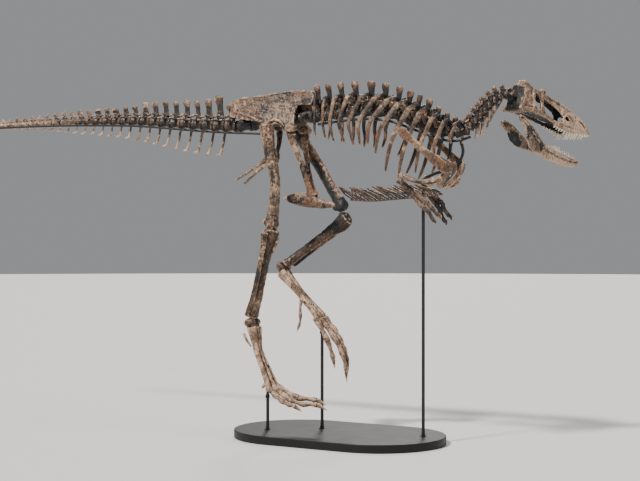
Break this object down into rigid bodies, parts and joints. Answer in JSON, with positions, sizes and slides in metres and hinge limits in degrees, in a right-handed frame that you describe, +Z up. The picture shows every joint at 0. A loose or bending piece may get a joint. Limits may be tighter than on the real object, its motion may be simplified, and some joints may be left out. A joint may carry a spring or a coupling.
{
  "type": "mounted gorgosaurus skeleton",
  "caption": "Mounted skeleton of a young tyrannosaur, striding with open jaws and a level tail, held by steel rods above an oval black plinth.",
  "frame": {"origin": "centre of the bounding box at floor level, under the front of the tail", "axes": "+X towards the head along the trunk, +Y to the left side of the animal, +Z up"},
  "size_m": [6.1714, 1.5334, 2.8446],
  "materials": {
    "plinth": "satin black paint",
    "steel": "black painted steel rod",
    "dark_infill": "matt black restoration filler",
    "pale_bone": "matt yellowish fossil bone",
    "brown_bone": "matt brown fossil bone"
  },
  "bodies": {
    "root": {"plinth": "plinth", "post_right_foot": "steel", "post_left_foot": "steel", "post_front": "steel", "tube_front": "steel", "rod_tail": "steel", "rod_trunk": "steel", "sacrum": "dark_infill", "atlas_axis": "dark_infill", "femur_left": "dark_infill", "tibia_left": "dark_infill", "pubis_right": "pale_bone", "pubis_left": "pale_bone", "ischium_right": "pale_bone", "ischium_left": "pale_bone", "metatarsus_right": "pale_bone", "metatarsus_left": "pale_bone", "toe_2_right": "pale_bone", "toe_3_right": "pale_bone", "toe_4_right": "pale_bone", "toe_2_left": "pale_bone", "toe_3_left": "pale_bone", "toe_4_left": "pale_bone", "hallux_right": "pale_bone", "hallux_left": "pale_bone", "splint_right": "pale_bone", "tail_1": "brown_bone", "tail_2": "brown_bone", "tail_3": "brown_bone", "tail_4": "brown_bone", "neck": "brown_bone", "rib_cage_right": "brown_bone", "rib_cage_left": "brown_bone", "ilium_right": "brown_bone", "ilium_left": "brown_bone", "scapula_right": "brown_bone", "scapula_left": "brown_bone", "coracoid_right": "brown_bone", "coracoid_left": "brown_bone", "humerus_right": "brown_bone", "humerus_left": "brown_bone", "ulna_right": "brown_bone", "ulna_left": "brown_bone", "radius_right": "brown_bone", "radius_left": "brown_bone", "hand_right": "brown_bone", "hand_left": "brown_bone", "mandible_right": "brown_bone", "mandible_left": "brown_bone", "femur_right": "brown_bone", "tibia_right": "brown_bone", "fibula_right": "brown_bone", "fibula_left": "brown_bone", "ankle_right": "brown_bone", "ankle_left": "brown_bone", "gastralia": "brown_bone", "skull": "brown_bone"}
  },
  "joints": []
}
